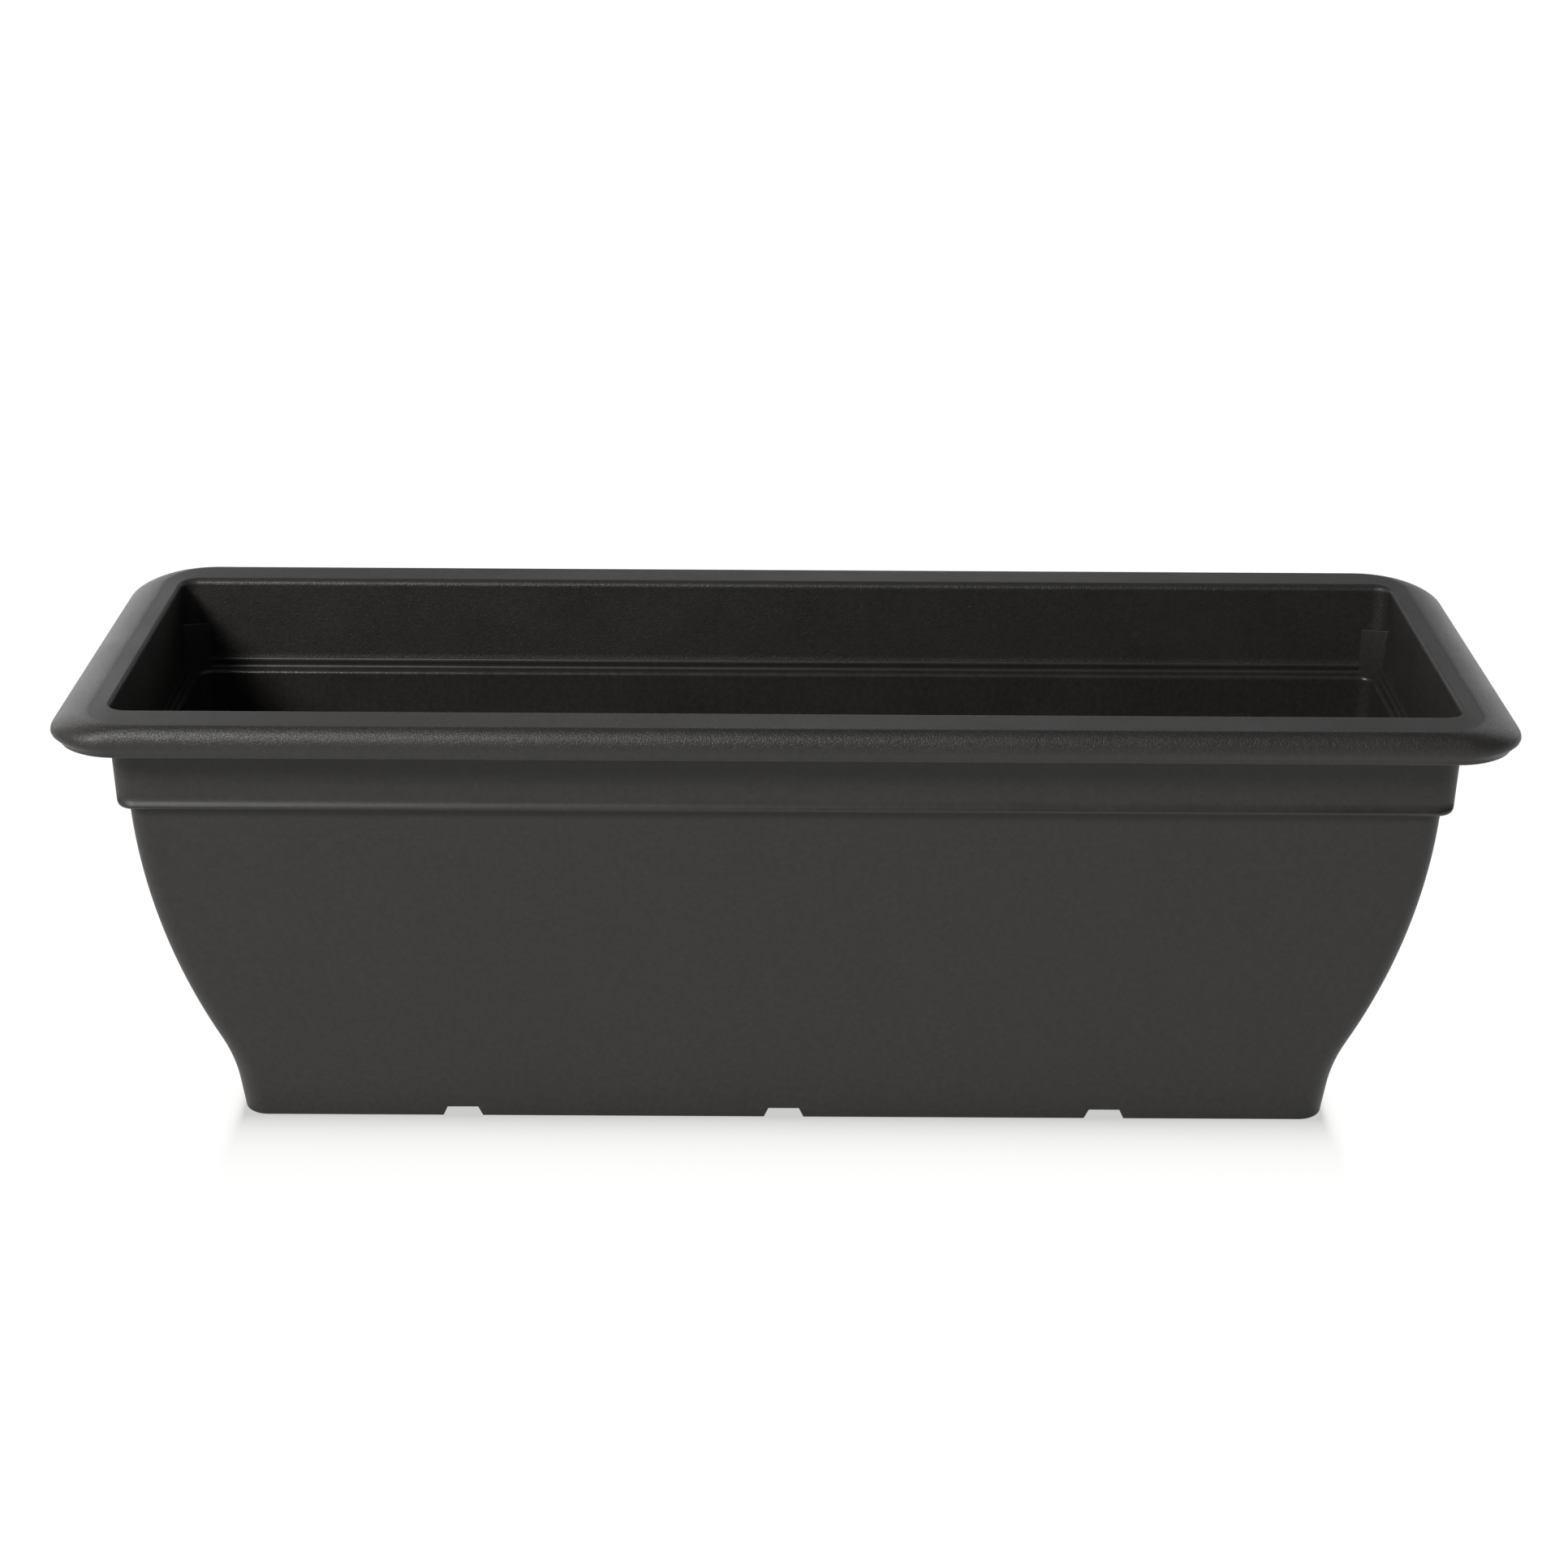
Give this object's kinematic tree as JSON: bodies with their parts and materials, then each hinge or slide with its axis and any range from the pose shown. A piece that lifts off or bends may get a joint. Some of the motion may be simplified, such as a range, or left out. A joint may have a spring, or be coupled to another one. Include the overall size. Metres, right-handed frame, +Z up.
{
  "type": "self watering planter",
  "caption": "Long moulded trough planter with a rolled rim, stepped collar, belly ends, lift-out reservoir floor with soil cups, filler pipe, water gauge and overflow.",
  "frame": {"origin": "middle of the footprint, on the surface that the trough stands on", "axes": "+Z up, +X along the trough, the long face that the user stands at is on -Y"},
  "size_m": [0.6028, 0.2, 0.201],
  "materials": {
    "anthracite_plastic": "satin, fine moulded grain",
    "insert_plastic": "matt moulded polypropylene",
    "cup_plastic": "matt moulded polypropylene",
    "fitting_plastic": "semi-gloss pipe",
    "seal_rubber": "matt rubber",
    "clear_plastic": "clear moulded",
    "float_foam": "closed-cell foam",
    "rod_plastic": "white nylon",
    "flag_plastic": "bright red moulded"
  },
  "bodies": {
    "trough": {"trough_shell": "anthracite_plastic", "overflow_pipe": "fitting_plastic", "overflow_seal": "seal_rubber", "overflow_nut": "fitting_plastic"},
    "bung": {"drain_bung": "seal_rubber"},
    "left_platform": {"platform_left": "insert_plastic", "soil_cup_1": "cup_plastic", "soil_cup_2": "cup_plastic"},
    "right_platform": {"platform_right": "insert_plastic", "soil_cup_3": "cup_plastic", "soil_cup_4": "cup_plastic"},
    "filler": {"filler_pipe": "fitting_plastic", "filler_hinge_pin": "rod_plastic"},
    "lid": {"filler_lid": "fitting_plastic"},
    "gauge": {"gauge_pipe": "fitting_plastic", "gauge_window": "clear_plastic"},
    "float": {"gauge_float": "float_foam", "gauge_rod": "rod_plastic", "gauge_flag": "flag_plastic"}
  },
  "joints": [
    {"name": "left_platform_lift", "type": "slide", "parent": "trough", "child": "left_platform", "axis": [0, 0, 1], "range_m": [0, 0.21]},
    {"name": "right_platform_lift", "type": "slide", "parent": "trough", "child": "right_platform", "axis": [0, 0, 1], "range_m": [0, 0.21]},
    {"name": "filler_lift", "type": "slide", "parent": "left_platform", "child": "filler", "axis": [0, 0, 1], "range_m": [0, 0.19]},
    {"name": "lid_hinge", "type": "hinge", "parent": "filler", "child": "lid", "pos_m": [-0.218, -0.0228, 0.1652], "axis": [-1, 0, 0], "range_deg": [0, 110]},
    {"name": "gauge_lift", "type": "slide", "parent": "right_platform", "child": "gauge", "axis": [0, 0, 1], "range_m": [0, 0.19]},
    {"name": "float_rise", "type": "slide", "parent": "gauge", "child": "float", "axis": [0, 0, 1], "range_m": [0, 0.026]},
    {"name": "drain_bung_pull", "type": "slide", "parent": "trough", "child": "bung", "axis": [0, 1, 0], "range_m": [0, 0.03]}
  ]
}
